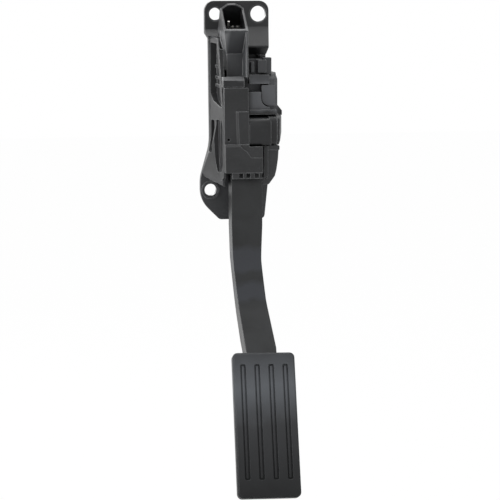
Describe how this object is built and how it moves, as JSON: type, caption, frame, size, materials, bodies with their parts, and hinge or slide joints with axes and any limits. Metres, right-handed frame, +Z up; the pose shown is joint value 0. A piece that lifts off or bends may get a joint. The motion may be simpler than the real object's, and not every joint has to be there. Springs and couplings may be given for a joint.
{
  "type": "accelerator pedal",
  "caption": "Hanging accelerator pedal: flanged plastic housing with a position sensor and connector, and a sprung arm with a ribbed foot pad.",
  "frame": {"origin": "rear mounting face of the flange, halfway between the two upper bolt holes", "axes": "+X to the driver's right, +Y away from the driver into the bulkhead, +Z up"},
  "size_m": [0.057, 0.1292, 0.3436],
  "materials": {
    "housing_plastic": "black glass-filled nylon with a fine satin grain",
    "sensor_plastic": "black moulded plastic, satin",
    "arm_plastic": "black glass-filled nylon, smooth satin",
    "pad_plastic": "black dense rubber with a soft sheen",
    "bush_steel": "zinc-plated turned steel",
    "screw_steel": "zinc-plated screw",
    "axle_steel": "ground steel pin",
    "spring_steel": "drawn spring wire",
    "terminal_metal": "tin-plated brass blades",
    "magnet_metal": "sintered magnet",
    "board_laminate": "green lacquered laminate",
    "chip_plastic": "black moulding compound",
    "natural_plastic": "natural acetal",
    "bearing_plastic": "filled bearing plastic",
    "seal_rubber": "black rubber"
  },
  "bodies": {
    "base": {"pedal_housing": "housing_plastic", "bush_upper_left": "bush_steel", "bush_upper_right": "bush_steel", "bush_lower": "bush_steel", "sensor_housing": "sensor_plastic", "terminal_pins": "terminal_metal", "sensor_board": "board_laminate", "hall_sensors": "chip_plastic", "sensor_cover": "sensor_plastic", "cover_seal": "seal_rubber", "sensor_screws": "screw_steel", "front_cover": "housing_plastic", "pivot_bush_left": "bearing_plastic", "pivot_bush_right": "bearing_plastic", "spring_outer": "spring_steel", "spring_inner": "spring_steel", "spring_cap": "natural_plastic", "idle_stop": "seal_rubber", "travel_stop": "seal_rubber"},
    "pedal": {"pedal_arm": "arm_plastic", "pedal_pad": "pad_plastic", "pivot_axle": "axle_steel", "magnet_carrier": "natural_plastic", "rotor_magnets": "magnet_metal", "spring_shoe": "natural_plastic"}
  },
  "joints": [
    {"name": "pedal_pivot", "type": "hinge", "parent": "base", "child": "pedal", "pos_m": [0, -0.026, -0.084], "axis": [1, 0, 0], "range_deg": [0, 18], "stiffness_Nm_per_rad": 16, "springref_deg": -17.76, "deforming": ["spring_outer", "spring_inner"]}
  ]
}
